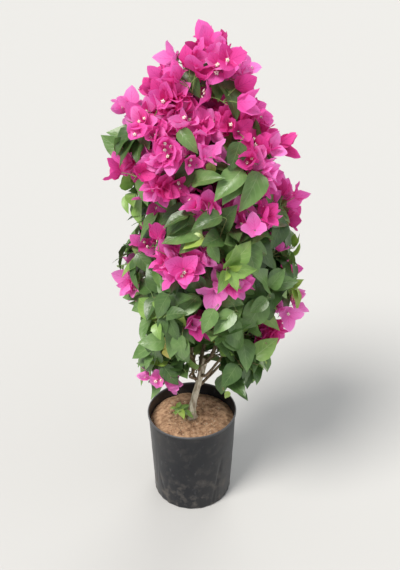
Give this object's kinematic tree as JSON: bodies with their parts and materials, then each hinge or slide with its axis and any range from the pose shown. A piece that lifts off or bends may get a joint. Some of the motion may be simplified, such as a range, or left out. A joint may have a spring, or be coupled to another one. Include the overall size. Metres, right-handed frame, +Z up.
{
  "type": "potted bougainvillea bush",
  "caption": "Bougainvillea bush in a black nursery pot: a cut-back trunk in soil, canes, and masses of dark green leaves with magenta bracts, heaviest at the top.",
  "frame": {"origin": "centre of the pot's flat underside", "axes": "+Z up along the pot's axis, -Y towards the viewer in the reference view, +X to that viewer's right"},
  "size_m": [0.4516, 0.4457, 1.1699],
  "materials": {
    "pot_plastic": "soft black polyethylene, dusty and scuffed",
    "soil": "dry crumbly garden soil",
    "bark": "grey-brown bark, greener on young wood",
    "leaves": "satin dark green leaf",
    "bracts": "papery magenta bract",
    "flowers": "small cream flower"
  },
  "bodies": {
    "root": {"pot": "pot_plastic", "soil": "soil", "trunk": "bark", "cane_1": "bark", "cane_2": "bark", "cane_3": "bark", "low_cane_1": "bark", "low_cane_2": "bark", "low_cane_3": "bark", "low_cane_4": "bark", "side_cane_1": "bark", "side_cane_2": "bark", "side_cane_3": "bark", "side_cane_4": "bark", "upper_cane_1": "bark", "upper_cane_2": "bark", "upper_cane_3": "bark", "crown_cane": "bark", "foliage_low_1": "leaves", "foliage_low_2": "leaves", "foliage_low_3": "leaves", "foliage_low_4": "leaves", "foliage_middle_1": "leaves", "foliage_middle_2": "leaves", "foliage_middle_3": "leaves", "foliage_middle_4": "leaves", "foliage_upper_1": "leaves", "foliage_upper_2": "leaves", "foliage_upper_3": "leaves", "blossom_upper_1": "bracts", "blossom_upper_2": "bracts", "blossom_upper_3": "bracts", "blossom_crown": "bracts"}
  },
  "joints": []
}
